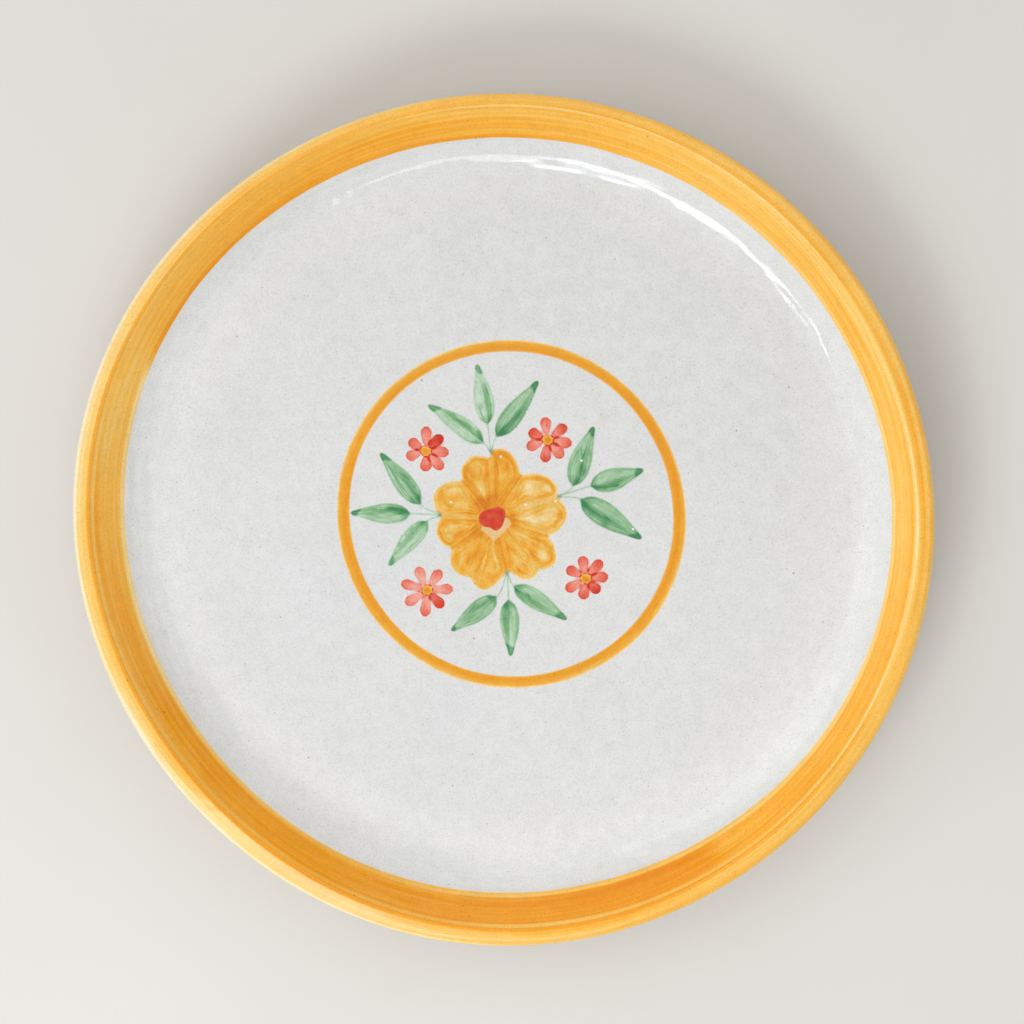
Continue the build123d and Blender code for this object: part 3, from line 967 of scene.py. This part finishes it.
def heart_red_colour(t):
    """Mottled red with an ochre edge."""
    m = Mark(t)
    mottle = t.lean(t.noise(t.place(), 0.45, 3.0), 0.7)
    depth = t.total(0.82, mottle, t.times(t.fade(m.edge, 0.6, 0.0), -0.10))
    return t.mix(t.fade(m.edge, -FRINGE, 0.25), shade("#EBA75A"), pinholes_and_glints(t, t.ramp(depth, REDS)))


def heart_orange_colour(t):
    """Mottled orange with a reddish edge."""
    m = Mark(t)
    depth = t.total(0.52, t.lean(t.noise(t.place(), 0.6, 3.0), 0.8), t.times(t.fade(m.edge, 0.1, 0.7), 0.22))
    return t.mix(t.fade(m.edge, -FRINGE, 0.1), shade("#E8705A"), t.ramp(depth, OCHRES))


# ---- Paint marks: pieces ----


def middle_of(node):
    """The middle of a CAD node's box, as seen from above."""
    low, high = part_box(node)
    return np.array([low.x + high.x, low.y + high.y]) / 2 / MM


flower_centre = middle_of("flower_heart")
petal_paint = glaze("flower_ochre", petal_colour)
leaf_paint = glaze("leaf_green", leaf_colour)
stem_paint = glaze("stem_green", stem_colour)
blossom_paint = glaze("blossom_red", blossom_colour)
blossom_heart_paint = glaze("blossom_heart_orange", heart_orange_colour)

add_piece("flower_heart", fan_places, flower_centre, glaze("flower_heart_red", heart_red_colour))
# How much deeper or paler than usual each petal is
PETAL_TONES = {"top": 0.06, "right": -0.06, "lower_right": 0.0, "lower_left": 0.05, "left": -0.02}
for petal, tone in PETAL_TONES.items():
    add_piece(petal + "_petal", fan_places, flower_centre, petal_paint, lambda bearing: tone)

# How much deeper or paler than usual each leaf's green is: left, middle and right leaf
LEAF_TONES = {"north": (-0.10, -0.18, 0.14), "east": (0.05, 0.06, 0.16), "south": (-0.01, 0.02, 0.07),
              "west": (-0.11, 0.05, 0.08)}
for spray, tones in LEAF_TONES.items():
    stems = outlines(spray + "_stems")[0]
    joint = stems[np.hypot(*(stems - flower_centre).T).argmin()]
    add_piece(spray + "_stems", fan_places, joint, stem_paint)
    for side, tone in zip(("left", "middle", "right"), tones):
        add_piece(f"{spray}_{side}_leaf", blade_places, flower_centre, leaf_paint, lambda bearing: tone)

# Each blossom's tone, and the bearing of its deepest petal with how much deeper that is
BLOSSOM_TONES = {"north_west": (0.06, 42, 0.34), "north_east": (0.08, 156, 0.14),
                 "south_west": (-0.08, -47, 0.38), "south_east": (0.08, -46, 0.26)}


def petal_tone(corner, bearing):
    tone, deep, more = BLOSSOM_TONES[corner]
    off = abs((bearing - deep + 180) % 360 - 180)
    return tone + (more if off < 20 else 0.06 * math.sin(math.radians(bearing * 2.6)))


for corner in BLOSSOM_TONES:
    heart = corner + "_blossom_heart"
    centre = middle_of(heart)
    add_piece(heart, fan_places, centre, blossom_heart_paint)
    add_piece(corner + "_blossom", blade_places, centre, blossom_paint,
              lambda bearing: petal_tone(corner, bearing))
make_marks()

# ---- Ring line ----

RING_ORANGES = [(0.0, "#FBE0A6"), (0.25, "#F8C871"), (0.5, "#F3AF47"), (0.75, "#EFA237"), (1.0, "#E7932F")]


def ring_colour(t):
    """A brushed line, deep along its inner side and thinning outwards, with streaks along it."""
    stroke = t.stored("stroke", "Vector")
    edge = t.stored("edge")
    streaks = t.noise(t.scaled(stroke, (1.2, 3.0, 3.0)))
    clouds = t.noise(t.scaled(stroke, (1.0, 12.0, 12.0)), 1.0, 3.0)
    depth = t.total(t.ramp(edge, [(-0.3, 0.0), (0.2, 0.12), (0.7, 0.36), (1.8, 0.42)]),
                    t.ramp(t.parts(stroke)[0], [(0.3, 0.36), (1.5, 0.34), (2.7, 0.14), (3.8, 0.0)]),
                    t.lean(streaks, 0.45), t.lean(clouds, 0.35))
    return laid_on_white(t, t.ramp(depth, RING_ORANGES), edge, 0.3)


# Waves of the line's inner and outer edge, as (how many, height, bearing of a crest)
RING_INNER_WAVES = [(1, 0.23, 180), (2, 0.43, -69), (4, 0.10, -26)]
RING_OUTER_WAVES = [(1, 0.31, -143), (2, 0.32, -62), (3, 0.09, -26), (4, 0.09, -19)]


def make_ring_line():
    """The thin orange line round the painted middle, a film like the marks."""
    inner, outer = sorted(outlines("ring_line"), key=lambda loop: float(np.ptp(loop[:, 0])))
    centre = (outer.max(axis=0) + outer.min(axis=0)) / 2
    radii = [float(np.ptp(loop[:, 0])) / 2 for loop in (inner, outer)]
    turns = np.arange(FULL_TURN_STEPS) * math.tau / FULL_TURN_STEPS
    east, north = np.cos(turns), np.sin(turns)
    stray_in = waves(turns, RING_INNER_WAVES) + 0.10 * ripple(east, north, 0.0, 0.35) - 0.1
    stray_out = waves(turns, RING_OUTER_WAVES) + 0.12 * ripple(east, north, 1.0, 0.3)
    start, end = radii[0] + stray_in - FRINGE, radii[1] + stray_out + FRINGE
    points, strokes, edges, rows = [], [], [], []
    for share, sunk in [*((s, False) for s in np.linspace(0, 1, 15)), (1.0, True), (0.0, True)]:
        radius = start + share * (end - start)
        edge = np.minimum(radius - start, end - radius) - FRINGE
        x, y = centre[0] + radius * east, centre[1] + radius * north
        height = np.full(FULL_TURN_STEPS, -FILM_ROOT) if sunk else film_height(edge)
        rows.append(len(points))
        points += list(np.column_stack([x, y, floor_surface(x, y) + height]))
        strokes += list(np.column_stack([radius - radii[0], east, north]))
        edges += list(edge)
    faces = []
    for row, following in zip(rows, rows[1:] + rows[:1]):
        faces += ring_faces(row, FULL_TURN_STEPS, following, FULL_TURN_STEPS)
    piece = make_piece("ring_line", points, faces, glaze("orange_line_glaze", ring_colour))
    give(piece, "stroke", strokes)
    give(piece, "edge", edges)


make_ring_line()

# ---- Camera, light and floor ----


def from_axis(bearing, elevation, distance):
    """A point that far from the origin, in metres."""
    level = math.cos(math.radians(elevation)) * distance
    return Vector((level * math.cos(math.radians(bearing)), level * math.sin(math.radians(bearing)),
                   math.sin(math.radians(elevation)) * distance))


def make_camera():
    """Nearly straight above the plate, with +Y up in the picture."""
    data = bpy.data.cameras.new("camera")
    data.lens = 85.0
    camera = add_object("camera", data)
    aim = Vector((2.12, 1.59, 0)) * MM
    away = from_axis(62.1, 79.91, 0.7789)
    back = unit(np.array(away))
    right = unit(np.cross((0, 1, 0), back))
    turned = Matrix(np.column_stack([right, np.cross(back, right), back]).tolist()).to_4x4()
    camera.matrix_world = Matrix.Translation(aim + away) @ turned
    bpy.context.scene.camera = camera


def add_light(name, bearing, elevation, distance, width, height, radiance, colour):
    """A rectangular soft light that faces the plate."""
    data = bpy.data.lights.new(name, "AREA")
    data.shape = "RECTANGLE"
    data.size = width
    data.size_y = height
    data.energy = radiance * math.pi * width * height
    data.color = colour
    light = add_object(name, data)
    light.location = from_axis(bearing, elevation, distance)
    light.rotation_euler = light.location.to_track_quat("Z", "Y").to_euler()


def make_floor():
    """A plain pale floor."""
    material, t, shader = new_material("floor")
    clouds = t.noise(t.place(), 0.01, 3.0)
    t.feed(shader.inputs["Base Color"], t.mix(clouds, shade("#DDD9D2"), shade("#E3E0DA")))
    shader.inputs["Roughness"].default_value = 0.7
    mesh = bpy.data.meshes.new("floor")
    far = 3.0
    mesh.from_pydata([(-far, -far, 0), (far, -far, 0), (far, far, 0), (-far, far, 0)], [], [(0, 1, 2, 3)])
    mesh.materials.append(material)
    floor = add_object("floor", mesh)


def make_world():
    """Light from all round, stronger from the side across from the window."""
    world = bpy.data.worlds.new("studio")
    world.use_nodes = True
    t = Tree(world.node_tree)
    inputs = {0: t.node("TexCoord").outputs["Generated"], 1: from_axis(88, 0, 1)}
    facing = t.node("VectorMath", inputs, operation="DOT_PRODUCT").outputs["Value"]
    background = world.node_tree.nodes["Background"]
    background.inputs["Color"].default_value = (0.985, 0.99, 1.0, 1)
    t.feed(background.inputs["Strength"], t.total(0.735, t.times(facing, 0.34)))
    bpy.context.scene.world = world


make_camera()
# Each light's bearing, elevation, distance, width, height, radiance and colour
add_light("key", 165, 48, 1.5, 1.2, 1.2, 0.70, (1.0, 0.995, 0.985))
add_light("window", -111, 43, 1.3, 1.06, 0.52, 2.9, (0.88, 0.95, 1.0))
add_light("window_top", -119, 50, 1.28, 0.60, 0.08, 6.5, (0.985, 0.99, 1.0))
add_light("window_bottom", -120, 41, 1.28, 0.66, 0.23, 4.3, (0.985, 0.99, 1.0))
make_world()
bpy.context.scene.view_settings.view_transform = "Standard"
make_floor()
